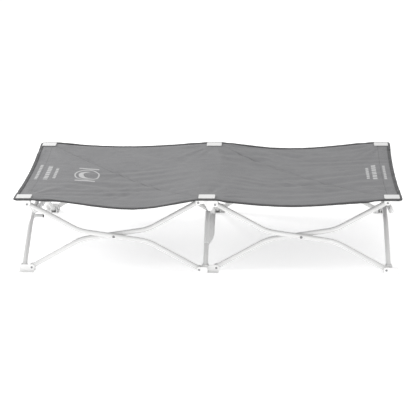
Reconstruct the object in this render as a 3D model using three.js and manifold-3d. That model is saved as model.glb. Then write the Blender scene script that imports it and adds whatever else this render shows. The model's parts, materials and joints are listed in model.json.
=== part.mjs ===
// Low folding cot: a sheet of cloth stretched over six hubs, which stand on six feet.
// Fourteen equal bent tubes join hubs and feet in crossed pairs: two bays along the front,
// two along the back, and three pairs that run from front to back. Millimetres, +Z up,
// +X along the cot, +Y to the back, origin on the floor under the middle.
import * as THREE from "three";
import { mergeVertices } from "three/addons/utils/BufferGeometryUtils.js";
import Module from "manifold-3d";

const wasm = await Module();
wasm.setup();

// Driving dimensions
const LENGTH = 1220; // cloth, along X
const WIDTH = 610; // cloth, along Y
const FOOT_PIVOT_Z = 14; // height of the lower pivots
const RISE = 220; // from a lower pivot to the upper one
const HUB_DROP = 14.5; // from the cloth's underside down to an upper pivot
const SPAN = 539; // from pivot to pivot of a tube, level
const GAP = 0.3; // between pieces that touch
const BITE = 1; // how far joined or cut shapes run into each other
const ARC_STEPS = 3;
const MERGE_WITHIN = 1e-3;

// Tubes
const TUBE_R = 8;
const TUBE_WALL = 0.9;
const TUBE_PAST_PIN = 6.5; // from the pin's axis to the tube's end
const BEND_AT = 107.5; // from the crossing to each bend, level
const MIDDLE_DROP = 16.8; // how far a bend is below or above the crossing
const BEND_EASE = 20; // straight length that each bend takes from its two sides
const PLANE = 8.5; // a crossed pair's tubes lie this far to each side of the pair's plane
const TUBE_SIDES = 8;
const TUBE_STEPS = 12;

// Pins and rivets
const PIN_R = 2.4;
const PIN_HOLE_R = 2.9;
const HEAD_R = 4.2;
const HEAD_T = 1.2;
const PIN_SIDES = 6;

// Hubs and feet
const MID_PIN_X = 27; // a middle hub's pins, from its centre
const END_PIN_X = 17; // an end hub's pin, from its centre
const CROSS_PIN_Y = 13; // the cross tubes' pins, from the row's centre, inwards
const EAR_R = 8.5;
const EAR_T = 2.4;
const EAR_CLEAR = 8.4; // from a tube's plane to the ear beside it
const PLATE_T = 3;
const PLATE_OUT = 19.3; // plate's edge on the outer side of the row's centre
const PLATE_IN = 23; // and on the inner side
const PLATE_CORNER = 5;
const WALL_CORNER = 7.5;
const WALL_BELOW = 4; // a hub's outer walls reach this far under its pins
const WALL_ABOVE = 9; // and a foot's this far over them
const APRON_Y = 0; // wall in front of a foot's cross tube
const GUSSET_HALF = 18;
const GUSSET_TIP = 5;
const GUSSET_REACH = 28;

// The front row's hubs and feet, from the row's centre: where each starts and ends along X,
// and its pins as [x, the plane of the tube that it holds]. gussetY is the outer face of the
// web in front of the cross tube, and capInset how much shorter the cap is at each end.
const FRONT_HUBS = {
  left: { x0: -20, x1: 28, pins: [[END_PIN_X, -PLANE]], gussetY: -0.1, capInset: 0 },
  mid: {
    x0: -35,
    x1: 35,
    pins: [
      [-MID_PIN_X, PLANE],
      [MID_PIN_X, -PLANE],
    ],
    gussetY: -0.1,
    capInset: 9,
  },
  right: { x0: -28, x1: 20, pins: [[-END_PIN_X, PLANE]], gussetY: -2.3, capInset: 0 },
};
const FRONT_FEET = {
  left: { x0: -24, x1: 26, pins: [[END_PIN_X, PLANE]] },
  mid: {
    x0: -35,
    x1: 35,
    pins: [
      [-MID_PIN_X, -PLANE],
      [MID_PIN_X, PLANE],
    ],
  },
  right: { x0: -26, x1: 24, pins: [[-END_PIN_X, -PLANE]] },
};

// Cloth and its caps
const CLOTH_T = 1.6;
const HEM_Y = 42.5; // width of the strips along the front and back edges
const END_X = 56; // width of the strips at the two ends
const BAND_HALF = 29; // half the width of the band between the two bays
const SEAM = 0.2; // each panel stops this far short of its outline
const CAP_T = 3;
const CAP_BEVEL = 0.8;
const CAP_CORNER = 3;
const CAP_Y = 34;
const CAP_INWARD = 6; // from the row's centre to the cap's centre
const PEG_R = 3;
const PEG_HOLE_R = 3.4;
const PEG_AT = 15; // each cap has two pegs, this far from its middle

// Storage peg on the left cross tube, and the label on the middle one
const STORE_R = 6;
const STORE_SIDES = 14;
const STORE_LENGTH = 27;
const STORE_AT = 75; // from the crossing, along the tube
const PLUG_T = 3;
const LABEL_W = 16.8;
const LABEL_T = 1;
const LABEL_FROM = 55; // level distances from the crossing
const LABEL_TO = 195;

// Places worked out from those
const MID_Z = FOOT_PIVOT_Z + RISE / 2;
const HUB_Z = FOOT_PIVOT_Z + RISE;
const CLOTH_Z = HUB_Z + HUB_DROP;
const BAY_X = MID_PIN_X + SPAN / 2; // middle of a bay
const STATION_X = MID_PIN_X + SPAN + END_PIN_X; // centre of an end hub
const ROW_Y = SPAN / 2 + CROSS_PIN_Y; // centre of a row of hubs
const BAY_OUTER = LENGTH / 2 - END_X;
const CLOTH_Y = WIDTH / 2 - HEM_Y;

const WHITE_STEEL = { color: 0xe9e9e7, roughness: 0.45, metalness: 0.1 };
const WHITE_PLASTIC = { color: 0xf0f0ee, roughness: 0.5, metalness: 0 };
const RIVET_STEEL = { color: 0x8d8f90, roughness: 0.35, metalness: 0.9 };
const GREY_CLOTH = { color: 0x8b8b8d, roughness: 0.9, metalness: 0 };
const DARK_RUBBER = { color: 0x4a4a4c, roughness: 0.8, metalness: 0 };
const LABEL_WHITE = { color: 0xe4e4e2, roughness: 0.7, metalness: 0 };

const X = new THREE.Vector3(1, 0, 0);
const Y = new THREE.Vector3(0, 1, 0);
const Z = new THREE.Vector3(0, 0, 1);
const cot = new THREE.Group();

function addMesh(name, geometry, look) {
  const mesh = new THREE.Mesh(geometry, new THREE.MeshStandardMaterial(look));
  mesh.name = name;
  cot.add(mesh);
  return mesh;
}

// A closed geometry as a manifold-3d solid, and back again.
function solid(geometry) {
  const bare = geometry.clone();
  bare.deleteAttribute("normal");
  bare.deleteAttribute("uv");
  const merged = mergeVertices(bare, MERGE_WITHIN);
  const vertProperties = new Float32Array(merged.attributes.position.array);
  const triVerts = new Uint32Array(merged.index.array);
  return new wasm.Manifold(new wasm.Mesh({ numProp: 3, vertProperties, triVerts }));
}

function geometryOf(made) {
  const mesh = made.getMesh();
  const geometry = new THREE.BufferGeometry();
  geometry.setAttribute("position", new THREE.BufferAttribute(mesh.vertProperties, 3));
  geometry.setIndex(new THREE.BufferAttribute(mesh.triVerts, 1));
  return geometry;
}

function joined(geometries) {
  return geometries.map(solid).reduce((whole, next) => whole.add(next));
}

function cut(whole, geometries) {
  return geometries.map(solid).reduce((left, next) => left.subtract(next), whole);
}

// A flat outline drawn in X and Z, given a thickness from y0 to y1.
function wallAlongX(shape, y0, y1) {
  const wall = new THREE.ExtrudeGeometry(shape, flat(y1 - y0));
  const turn = new THREE.Matrix4().makeBasis(X, Z, Y.clone().negate());
  return wall.applyMatrix4(turn).translate(0, y1, 0);
}

// A flat outline drawn in Y and Z, given a thickness from x0 to x1.
function wallAlongY(shape, x0, x1) {
  const wall = new THREE.ExtrudeGeometry(shape, flat(x1 - x0));
  const turn = new THREE.Matrix4().makeBasis(Y, Z, X);
  return wall.applyMatrix4(turn).translate(x0, 0, 0);
}

function flat(depth) {
  return { depth, bevelEnabled: false, curveSegments: ARC_STEPS };
}

function rod(radius, from, to, sides = PIN_SIDES) {
  const length = from.distanceTo(to);
  const along = to.clone().sub(from).normalize();
  const turn = new THREE.Quaternion().setFromUnitVectors(Y, along);
  const middle = from.clone().add(to).multiplyScalar(0.5);
  const geometry = new THREE.CylinderGeometry(radius, radius, length, sides);
  return geometry.applyQuaternion(turn).translate(middle.x, middle.y, middle.z);
}

function roundedRectangle(x0, x1, y0, y1, corner) {
  const shape = new THREE.Shape();
  shape.absarc(x1 - corner, y1 - corner, corner, 0, Math.PI / 2, false);
  shape.absarc(x0 + corner, y1 - corner, corner, Math.PI / 2, Math.PI, false);
  shape.absarc(x0 + corner, y0 + corner, corner, Math.PI, 1.5 * Math.PI, false);
  shape.absarc(x1 - corner, y0 + corner, corner, 1.5 * Math.PI, 2 * Math.PI, false);
  return shape;
}

function polygon(points) {
  return new THREE.Shape(points.map(([x, y]) => new THREE.Vector2(x, y)));
}

// The tube, with its crossing at the origin, falling towards +X in the XZ plane
const endSlope = (RISE / 2 - MIDDLE_DROP) / (SPAN / 2 - BEND_AT);

function tubeCorners() {
  const past = TUBE_PAST_PIN / Math.hypot(1, endSlope);
  const endX = SPAN / 2 + past;
  const endZ = RISE / 2 + past * endSlope;
  return [
    new THREE.Vector3(-endX, 0, endZ),
    new THREE.Vector3(-BEND_AT, 0, MIDDLE_DROP),
    new THREE.Vector3(BEND_AT, 0, -MIDDLE_DROP),
    new THREE.Vector3(endX, 0, -endZ),
  ];
}

function tubePath() {
  const [start, high, low, end] = tubeCorners();
  const path = new THREE.CurvePath();
  const near = (corner, other) =>
    corner.clone().add(other.clone().sub(corner).setLength(BEND_EASE));
  const bend = (before, corner, after) =>
    new THREE.QuadraticBezierCurve3(near(corner, before), corner, near(corner, after));
  path.add(new THREE.LineCurve3(start, near(high, start)));
  path.add(bend(start, high, low));
  path.add(new THREE.LineCurve3(near(high, low), near(low, high)));
  path.add(bend(high, low, end));
  path.add(new THREE.LineCurve3(near(low, end), end));
  return path;
}

function ring(radius, sides) {
  const turn = (2 * Math.PI) / sides;
  return Array.from({ length: sides }, (_, i) => i * turn).map(
    (angle) => new THREE.Vector2(radius * Math.cos(angle), radius * Math.sin(angle)),
  );
}

function tubeGeometry() {
  const section = new THREE.Shape(ring(TUBE_R, TUBE_SIDES));
  section.holes.push(new THREE.Path(ring(TUBE_R - TUBE_WALL, TUBE_SIDES)));
  const settings = { extrudePath: tubePath(), steps: TUBE_STEPS, bevelEnabled: false };
  const tube = solid(new THREE.ExtrudeGeometry(section, settings));
  const hole = (x, z) =>
    rod(PIN_HOLE_R, new THREE.Vector3(x, -2 * TUBE_R, z), new THREE.Vector3(x, 2 * TUBE_R, z));
  const holes = [hole(-SPAN / 2, RISE / 2), hole(0, 0), hole(SPAN / 2, -RISE / 2)];
  return geometryOf(cut(tube, holes));
}

// A rivet through a crossed pair, along Y, with a head at each end
function rivetGeometry() {
  const out = PLANE + TUBE_R + GAP;
  const at = (y) => new THREE.Vector3(0, y, 0);
  const pieces = [
    rod(PIN_R, at(-out - HEAD_T / 2), at(out + HEAD_T / 2)),
    rod(HEAD_R, at(-out - HEAD_T), at(-out)),
    rod(HEAD_R, at(out), at(out + HEAD_T)),
  ];
  return geometryOf(joined(pieces));
}

// Hubs and feet. Both are drawn round the row's centre at pivot height, for the front row;
// the back row's are the same turned half a turn. up is +1 for a hub and -1 for a foot.
function ear(at, plateZ) {
  const shape = new THREE.Shape();
  const start = plateZ > 0 ? Math.PI : 0;
  const side = plateZ > 0 ? -1 : 1;
  shape.moveTo(at + side * EAR_R, plateZ);
  shape.lineTo(at + side * EAR_R, 0);
  shape.absarc(at, 0, EAR_R, start, start + Math.PI, false);
  shape.lineTo(at - side * EAR_R, plateZ);
  return shape;
}

// The ears and pin that hold a tube of the row: plane is the tube's y
function longSocket(x, plane, plateZ) {
  const near = plane - EAR_CLEAR;
  const far = plane + EAR_CLEAR;
  const first = near - EAR_T;
  const last = far + EAR_T;
  const at = (y) => new THREE.Vector3(x, y, 0);
  return [
    wallAlongX(ear(x, plateZ), first, near),
    wallAlongX(ear(x, plateZ), far, last),
    rod(PIN_R, at(first - HEAD_T / 2), at(last - EAR_T / 2)),
    rod(HEAD_R, at(first - HEAD_T), at(first + EAR_T / 2)),
  ];
}

// The ears and pin that hold a cross tube, whose plane is at x
function crossSocket(x, plateZ) {
  const left = x - EAR_CLEAR;
  const right = x + EAR_CLEAR;
  const at = (far) => new THREE.Vector3(far, CROSS_PIN_Y, 0);
  return [
    wallAlongY(ear(CROSS_PIN_Y, plateZ), left - EAR_T, left),
    wallAlongY(ear(CROSS_PIN_Y, plateZ), right, right + EAR_T),
    rod(PIN_R, at(left - BITE), at(right + BITE)),
  ];
}

function plate(x0, x1, z0, z1) {
  const outline = roundedRectangle(x0, x1, -PLATE_OUT, PLATE_IN, PLATE_CORNER);
  return new THREE.ExtrudeGeometry(outline, flat(z1 - z0)).translate(0, 0, z0);
}

// The walls on the outer side of the tubes, each in the plane of its tube's outer ear. A middle
// piece holds two tubes, so its two walls are a step apart.
function outerWalls({ x0, x1, pins }, freeZ, plateZ) {
  const low = Math.min(freeZ, plateZ);
  const high = Math.max(freeZ, plateZ);
  const spans = pins.length === 1 ? [[x0, x1]] : [[x0, 0], [0, x1]];
  return spans.map(([from, to], i) => {
    const y = pins[i][1] - EAR_CLEAR - EAR_T;
    return wallAlongX(roundedRectangle(from, to, low, high, WALL_CORNER), y, y + EAR_T);
  });
}

// A tapered web in front of the cross tube's ears
function gusset(x, plateZ, y0) {
  const outline = polygon([
    [x - GUSSET_HALF, plateZ],
    [x - GUSSET_HALF, 0],
    [x - GUSSET_TIP, -GUSSET_REACH],
    [x + GUSSET_TIP, -GUSSET_REACH],
    [x + GUSSET_HALF, 0],
    [x + GUSSET_HALF, plateZ],
  ]);
  return wallAlongX(outline, y0, y0 + EAR_T);
}

// The wall that closes the outer side of a foot's cross socket
function apron(x, topZ, bottomZ) {
  const half = EAR_CLEAR + EAR_T;
  const outline = roundedRectangle(x - half, x + half, bottomZ, topZ, WALL_CORNER);
  return wallAlongX(outline, APRON_Y, APRON_Y + EAR_T);
}

function capPegs(hub, radius, z0, z1) {
  const middle = (hub.x0 + hub.x1) / 2;
  return [-PEG_AT, PEG_AT].map((dx) =>
    rod(
      radius,
      new THREE.Vector3(middle + dx, CAP_INWARD, z0),
      new THREE.Vector3(middle + dx, CAP_INWARD, z1),
    ),
  );
}

function hubGeometry(hub) {
  const top = HUB_DROP - GAP;
  const under = top - PLATE_T;
  const pieces = [
    plate(hub.x0, hub.x1, under, top),
    ...outerWalls(hub, -WALL_BELOW, top - PLATE_T / 2),
    gusset(PLANE, under + BITE, hub.gussetY),
    ...hub.pins.flatMap(([x, plane]) => longSocket(x, plane, under + BITE)),
    ...crossSocket(PLANE, under + BITE),
  ];
  const holes = capPegs(hub, PEG_HOLE_R, under - BITE, top + BITE);
  return geometryOf(cut(joined(pieces), holes));
}

function footGeometry(foot) {
  const bottom = -FOOT_PIVOT_Z;
  const over = bottom + PLATE_T;
  const pieces = [
    plate(foot.x0, foot.x1, bottom, over),
    ...outerWalls(foot, WALL_ABOVE, bottom + PLATE_T / 2),
    apron(-PLANE, WALL_ABOVE, bottom + PLATE_T / 2),
    ...foot.pins.flatMap(([x, plane]) => longSocket(x, plane, over - BITE)),
    ...crossSocket(-PLANE, over - BITE),
  ];
  return geometryOf(joined(pieces));
}

function capGeometry(hub) {
  const half = (hub.x1 - hub.x0) / 2 - hub.capInset;
  const middle = (hub.x0 + hub.x1) / 2;
  const inset = CAP_BEVEL;
  const outline = roundedRectangle(
    middle - half + inset,
    middle + half - inset,
    CAP_INWARD - CAP_Y / 2 + inset,
    CAP_INWARD + CAP_Y / 2 - inset,
    CAP_CORNER,
  );
  const settings = {
    depth: CAP_T - 2 * CAP_BEVEL,
    bevelThickness: CAP_BEVEL,
    bevelSize: CAP_BEVEL,
    bevelSegments: 1,
    curveSegments: ARC_STEPS - 1,
  };
  const base = HUB_DROP + CLOTH_T + GAP;
  const lid = new THREE.ExtrudeGeometry(outline, settings).translate(0, 0, base + CAP_BEVEL);
  const pegs = capPegs(hub, PEG_R, HUB_DROP - PLATE_T, base + CAP_T / 2);
  return geometryOf(joined([lid, ...pegs]));
}

// Cloth panels, flat, as outlines in X and Y
function clothGeometry(points, holes = []) {
  const shape = polygon(points);
  const sheet = new THREE.ExtrudeGeometry(shape, flat(CLOTH_T)).translate(0, 0, CLOTH_Z);
  return geometryOf(cut(solid(sheet), holes));
}

function strip(x0, x1, y0, y1) {
  return [
    [x0 + SEAM, y0 + SEAM],
    [x1 - SEAM, y0 + SEAM],
    [x1 - SEAM, y1 - SEAM],
    [x0 + SEAM, y1 - SEAM],
  ];
}

// A triangle with its base along one side of a bay and its tip in the bay's middle.
// side is the direction from the bay's middle to that base.
function triangle(middleX, side) {
  const reach = CLOTH_Y;
  const inset = SEAM * Math.SQRT2;
  const across = { x: -side.y, y: side.x };
  const at = (out, along) => [
    middleX + side.x * out + across.x * along,
    side.y * out + across.y * along,
  ];
  return [
    at(reach - SEAM, reach - SEAM - inset),
    at(inset, 0),
    at(reach - SEAM, SEAM + inset - reach),
  ].reverse();
}

const stationX = { left: -STATION_X, mid: 0, right: STATION_X };
const opposite = { left: "right", mid: "mid", right: "left" };
const rowY = { front: -ROW_Y, back: ROW_Y };
const bayX = { left: -BAY_X, right: BAY_X };

// Hubs, feet and caps. A back piece is the opposite front piece turned half a turn.
for (const row of ["front", "back"]) {
  for (const station of ["left", "mid", "right"]) {
    const like = row === "front" ? station : opposite[station];
    const turn = row === "front" ? 0 : Math.PI;
    const place = (mesh, z) => {
      mesh.rotation.z = turn;
      mesh.position.set(stationX[station], rowY[row], z);
    };
    const name = `${row}_${station}`;
    const hub = FRONT_HUBS[like];
    place(addMesh(`hub_${name}`, hubGeometry(hub), WHITE_PLASTIC), HUB_Z);
    place(addMesh(`cap_${name}`, capGeometry(hub), WHITE_PLASTIC), HUB_Z);
    const foot = footGeometry(FRONT_FEET[like]);
    place(addMesh(`foot_${name}`, foot, WHITE_PLASTIC), FOOT_PIVOT_Z);
  }
}

// Tubes. A falling tube goes down towards +X or +Y, and a rising one goes up.
const tube = tubeGeometry();
const rivet = rivetGeometry();

function addPair(name, x, y, turn) {
  const side = new THREE.Vector3(0, -PLANE, 0).applyAxisAngle(Z, turn);
  const falling = addMesh(`tube_${name}_falling`, tube, WHITE_STEEL);
  falling.rotation.z = turn;
  falling.position.set(x + side.x, y + side.y, MID_Z);
  const rising = addMesh(`tube_${name}_rising`, tube, WHITE_STEEL);
  rising.rotation.z = turn + Math.PI;
  rising.position.set(x - side.x, y - side.y, MID_Z);
  const pin = addMesh(`rivet_${name}`, rivet, RIVET_STEEL);
  pin.rotation.z = turn;
  pin.position.set(x, y, MID_Z);
}

for (const row of ["front", "back"]) {
  for (const bay of ["left", "right"]) addPair(`${row}_${bay}`, bayX[bay], rowY[row], 0);
}
for (const station of ["left", "mid", "right"]) {
  addPair(`cross_${station}`, stationX[station], 0, Math.PI / 2);
}

// Cloth: hems between the hubs, strips at the ends, a band in the middle, and in each bay
// four triangles that meet at its middle.
function pegHoles(station) {
  return ["front", "back"].flatMap((row) => {
    const like = row === "front" ? station : opposite[station];
    const turn = row === "front" ? 0 : Math.PI;
    const holes = capPegs(FRONT_HUBS[like], PEG_HOLE_R, CLOTH_Z - BITE, CLOTH_Z + CLOTH_T + BITE);
    return holes.map((hole) => hole.rotateZ(turn).translate(stationX[station], rowY[row], 0));
  });
}

function addCloth(name, points, holes) {
  addMesh(name, clothGeometry(points, holes), GREY_CLOTH);
}

const halfL = LENGTH / 2;
const halfW = WIDTH / 2;
addCloth("cloth_end_left", strip(-halfL, -BAY_OUTER, -halfW, halfW), pegHoles("left"));
addCloth("cloth_end_right", strip(BAY_OUTER, halfL, -halfW, halfW), pegHoles("right"));
addCloth("cloth_band_mid", strip(-BAND_HALF, BAND_HALF, -halfW, halfW), pegHoles("mid"));
addCloth("cloth_hem_front_left", strip(-BAY_OUTER, -BAND_HALF, -halfW, -CLOTH_Y));
addCloth("cloth_hem_front_right", strip(BAND_HALF, BAY_OUTER, -halfW, -CLOTH_Y));
addCloth("cloth_hem_back_left", strip(-BAY_OUTER, -BAND_HALF, CLOTH_Y, halfW));
addCloth("cloth_hem_back_right", strip(BAND_HALF, BAY_OUTER, CLOTH_Y, halfW));

const clothMiddle = (BAY_OUTER + BAND_HALF) / 2;
for (const [bay, sign] of [
  ["left", -1],
  ["right", 1],
]) {
  addCloth(`cloth_${bay}_front`, triangle(sign * clothMiddle, { x: 0, y: -1 }));
  addCloth(`cloth_${bay}_back`, triangle(sign * clothMiddle, { x: 0, y: 1 }));
  addCloth(`cloth_${bay}_outer`, triangle(sign * clothMiddle, { x: sign, y: 0 }));
  addCloth(`cloth_${bay}_inner`, triangle(sign * clothMiddle, { x: -sign, y: 0 }));
}

// Storage peg with its end plug, square to the left cross tube that rises to the back
const middleSlope = Math.atan2(MIDDLE_DROP, BEND_AT);
const storeY = -STORE_AT * Math.cos(middleSlope);
const storeZ = MID_Z - STORE_AT * Math.sin(middleSlope);
const storeX = -STATION_X - PLANE + TUBE_R + GAP;
const storeEnd = storeX + STORE_LENGTH;
const onPeg = (x) => new THREE.Vector3(x, storeY, storeZ);
addMesh("storage_peg", rod(STORE_R, onPeg(storeX), onPeg(storeEnd), STORE_SIDES), WHITE_STEEL);
const plugX = storeEnd + GAP;
addMesh("peg_plug", rod(STORE_R, onPeg(plugX), onPeg(plugX + PLUG_T), STORE_SIDES), DARK_RUBBER);

// Label: a thin band beside the middle cross tube, bent as the tube is
function labelGeometry() {
  const onTube = (y) => {
    const past = Math.max(0, -y - BEND_AT);
    const level = Math.min(-y, BEND_AT);
    return MID_Z - level * Math.tan(middleSlope) - past * endSlope;
  };
  const stops = [-LABEL_TO, -BEND_AT, -LABEL_FROM];
  const edge = (height) => stops.map((y) => [y, onTube(y) + height]);
  const outline = [...edge(-LABEL_T / 2), ...edge(LABEL_T / 2).reverse()];
  const from = -PLANE + TUBE_R + GAP;
  return wallAlongY(polygon(outline), from, from + LABEL_W);
}

addMesh("care_label", labelGeometry(), LABEL_WHITE);

export default cot;
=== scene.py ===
# Looks of the folding cot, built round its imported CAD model. Metres, +Z up, +X along the cot.
import json
import math

import bmesh
import bpy
import numpy as np
from mathutils import Matrix, Vector

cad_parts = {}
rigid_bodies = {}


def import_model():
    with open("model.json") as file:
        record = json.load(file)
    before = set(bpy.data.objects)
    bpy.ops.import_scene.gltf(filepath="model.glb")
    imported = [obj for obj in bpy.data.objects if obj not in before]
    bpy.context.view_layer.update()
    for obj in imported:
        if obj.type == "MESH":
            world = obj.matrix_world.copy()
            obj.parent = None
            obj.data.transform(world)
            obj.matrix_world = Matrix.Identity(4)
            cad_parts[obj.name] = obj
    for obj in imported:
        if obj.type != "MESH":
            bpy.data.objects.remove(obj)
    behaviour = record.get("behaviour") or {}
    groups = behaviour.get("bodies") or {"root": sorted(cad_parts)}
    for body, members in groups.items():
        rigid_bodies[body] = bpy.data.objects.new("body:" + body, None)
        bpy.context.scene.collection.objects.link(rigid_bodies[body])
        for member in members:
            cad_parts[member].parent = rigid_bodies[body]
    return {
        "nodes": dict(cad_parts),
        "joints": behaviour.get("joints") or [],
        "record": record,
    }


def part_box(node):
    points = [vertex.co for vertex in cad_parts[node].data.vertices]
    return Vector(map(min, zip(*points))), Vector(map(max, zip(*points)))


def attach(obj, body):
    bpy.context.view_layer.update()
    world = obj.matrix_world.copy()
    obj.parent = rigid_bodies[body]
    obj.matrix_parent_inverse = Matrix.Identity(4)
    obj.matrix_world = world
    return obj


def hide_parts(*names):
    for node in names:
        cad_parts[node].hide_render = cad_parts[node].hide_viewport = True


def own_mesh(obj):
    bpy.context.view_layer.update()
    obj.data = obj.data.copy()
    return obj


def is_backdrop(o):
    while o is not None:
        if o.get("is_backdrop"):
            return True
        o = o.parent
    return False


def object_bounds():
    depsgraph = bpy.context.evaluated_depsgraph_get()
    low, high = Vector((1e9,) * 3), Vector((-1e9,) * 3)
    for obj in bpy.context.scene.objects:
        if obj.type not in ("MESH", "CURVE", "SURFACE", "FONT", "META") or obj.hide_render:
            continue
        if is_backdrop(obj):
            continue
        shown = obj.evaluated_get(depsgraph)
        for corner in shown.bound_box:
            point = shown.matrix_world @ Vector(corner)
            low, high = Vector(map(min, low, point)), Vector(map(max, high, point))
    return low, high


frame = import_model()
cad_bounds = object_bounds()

SEED = 11  # starts every run of random numbers
FOLD = "fold"  # the joint that moves the whole linkage

# Tubes
TUBE_R = 0.008
TUBE_BORE_R = 0.0068
TUBE_PAST_PIN = 0.0065  # from a pin's axis to the tube's end
BEND_AT = 0.1075  # from the crossing to each bend, level
MIDDLE_DROP = 0.0168  # how far a bend is below or above the crossing
BEND_EASE = 0.026  # straight length that each bend takes from its two sides
BEND_STEPS = 14
TUBE_SIDES = 28
RIM_ROUND = 0.0004  # round of a tube's rim on the outside
BORE_ROUND = 0.0003  # and on the inside
BORE_DEPTH = 0.02  # how much of the bore is made at each end

# Cloth
CELLS = 104  # cells along each side of a bay
CORNER_R = 0.013
CLOTH_LIFT = 0.0008  # from the underside of the CAD cloth up to the sheet


def cad_value(node, corner, axis):
    """One number of a CAD node's box: corner 0 is the lowest, 1 the highest."""
    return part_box(node)[corner][axis]


def box_corners(node):
    return [Vector(corner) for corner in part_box(node)]


# The sheet is cut along the sides and diagonals of two square bays, so that it can fold.
CLOTH_Z = cad_value("cloth_band_mid", 0, 2) + CLOTH_LIFT
HALF_L = cad_value("cloth_end_right", 1, 0)
HALF_W = cad_value("cloth_end_right", 1, 1)
OUTER = cad_value("cloth_end_right", 0, 0)
BAND = cad_value("cloth_band_mid", 1, 0)
INNER_Y = (OUTER - BAND) / 2


# ---- materials
# Columns of the print: middle along the cot, width, and where each starts and ends across it
PRINT_COLUMNS = [
    (-0.578, 0.010, -0.085, 0.070),
    (-0.545, 0.015, -0.085, 0.060),
    (-0.518, 0.010, -0.070, 0.040),
    (0.520, 0.010, -0.065, 0.045),
    (0.543, 0.015, -0.080, 0.070),
    (0.578, 0.009, -0.085, 0.060),
]
DASH_PITCH = (0.016, 0.021)  # shortest and longest
PRINT_EDGE = 0.0008  # softness of the print's edges
EMBLEM_AT = (-0.412, -0.010)
EMBLEM_R = 0.042
EMBLEM_STRETCH = 1.25  # the emblem is longer across the cot than along it
EMBLEM_EDGE = 0.0006
SEAM_AT = 0.567  # from the cot's middle to the stitches of each end hem
SEAM_PITCH = 0.0034
SEAM_HALF = 0.0005
# Painted shade along the long diagonal fold of each bay, from end to end
CREASE_SHADE_LINES = [((-0.56, 0.266), (-0.03, -0.266)), ((0.03, 0.266), (0.56, -0.266))]
CREASE_SHADE_HALF = 0.0024
YARN_PITCH = 0.0009
RIB_PITCH = 0.0007
FLOOR_GLOW = 0.46  # strength of the light that the white table gives
MIX_UNDER, MIX_OVER, MIX_RESULT = 6, 7, 2  # a mix node's colour sockets


def new_material(name):
    material = bpy.data.materials.new(name)
    material.use_nodes = True
    tree = material.node_tree
    return material, tree, tree.nodes["Principled BSDF"]


def node(tree, kind, **settings):
    made = tree.nodes.new(kind)
    for key, value in settings.items():
        setattr(made, key, value)
    return made


def math_node(tree, operation, a, b=None, c=None, clamp=False):
    made = node(tree, "ShaderNodeMath", operation=operation, use_clamp=clamp)
    for socket, value in zip(made.inputs, (a, b, c)):
        if value is None:
            continue
        if isinstance(value, (int, float)):
            socket.default_value = value
        else:
            tree.links.new(value, socket)
    return made.outputs[0]


def times(tree, a, b):
    return math_node(tree, "MULTIPLY", a, b)


def minus(tree, a, b):
    return math_node(tree, "SUBTRACT", a, b)


def scaled(tree, value, factor, offset):
    return math_node(tree, "MULTIPLY_ADD", value, factor, offset)


def noise_node(tree, coords, scale, detail=2.0, roughness=0.5):
    made = node(tree, "ShaderNodeTexNoise")
    made.inputs["Scale"].default_value = scale
    made.inputs["Detail"].default_value = detail
    made.inputs["Roughness"].default_value = roughness
    tree.links.new(coords, made.inputs["Vector"])
    return made.outputs["Fac"]


def ramp_node(tree, factor, stops):
    made = node(tree, "ShaderNodeValToRGB")
    ramp = made.color_ramp
    while len(ramp.elements) < len(stops):
        ramp.elements.new(0.5)
    for element, (place, colour) in zip(ramp.elements, stops):
        element.position = place
        element.color = (*colour, 1)
    tree.links.new(factor, made.inputs["Fac"])
    return made.outputs["Color"]


def bump_node(tree, height, distance, strength=1.0, under=None):
    made = node(tree, "ShaderNodeBump")
    made.inputs["Strength"].default_value = strength
    made.inputs["Distance"].default_value = distance
    tree.links.new(height, made.inputs["Height"])
    if under is not None:
        tree.links.new(under, made.inputs["Normal"])
    return made.outputs["Normal"]


def painted(tree, cover, under, colour):
    """A plain colour laid on another where cover is 1."""
    made = node(tree, "ShaderNodeMix", data_type="RGBA")
    tree.links.new(cover, made.inputs["Factor"])
    tree.links.new(under, made.inputs[MIX_UNDER])
    made.inputs[MIX_OVER].default_value = (*colour, 1)
    return made.outputs[MIX_RESULT]


def object_coords(tree):
    return node(tree, "ShaderNodeTexCoord").outputs["Object"]


def moulded(name, colour, scale, depth, roughness, spread):
    """A finish with a fine grain, slightly uneven colour and uneven gloss.

    scale and depth are the grain's, roughness is the lowest and highest, and spread is how
    much darker the darkest patches are.
    """
    material, tree, shader = new_material(name)
    coords = object_coords(tree)
    grain = noise_node(tree, coords, scale, 3)
    cloudy = noise_node(tree, coords, 18, 4)
    darker = tuple(c * (1 - spread) for c in colour)
    tint = ramp_node(tree, cloudy, [(0.3, darker), (0.7, colour)])
    tree.links.new(tint, shader.inputs["Base Color"])
    low, high = roughness
    gloss = scaled(tree, cloudy, high - low, low)
    tree.links.new(gloss, shader.inputs["Roughness"])
    tree.links.new(bump_node(tree, grain, depth), shader.inputs["Normal"])
    return material, shader


def powder_coat():
    """White powder coat: orange-peel skin over the steel."""
    white = (0.71, 0.71, 0.705)
    material, shader = moulded("powder_coat", white, 900, 0.00012, (0.3, 0.42), 0.03)
    shader.inputs["Coat Weight"].default_value = 0.25
    shader.inputs["Coat Roughness"].default_value = 0.2
    return material


def white_plastic():
    return moulded("white_plastic", (0.84, 0.84, 0.835), 1500, 0.00006, (0.42, 0.55), 0.03)[0]


def rivet_steel():
    material, shader = moulded("rivet_steel", (0.30, 0.30, 0.31), 2500, 0.00003, (0.3, 0.5), 0.3)
    shader.inputs["Metallic"].default_value = 0.85
    return material


def dark_rubber():
    return moulded("dark_rubber", (0.10, 0.10, 0.10), 1200, 0.00008, (0.6, 0.75), 0.2)[0]


def label_vinyl():
    return moulded("label_vinyl", (0.90, 0.90, 0.895), 500, 0.00006, (0.45, 0.6), 0.05)[0]


def flat_coords(tree):
    """The place on the flat sheet, in metres, which every cloth mesh carries."""
    return node(tree, "ShaderNodeUVMap", uv_map="flat").outputs["UV"]


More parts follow.
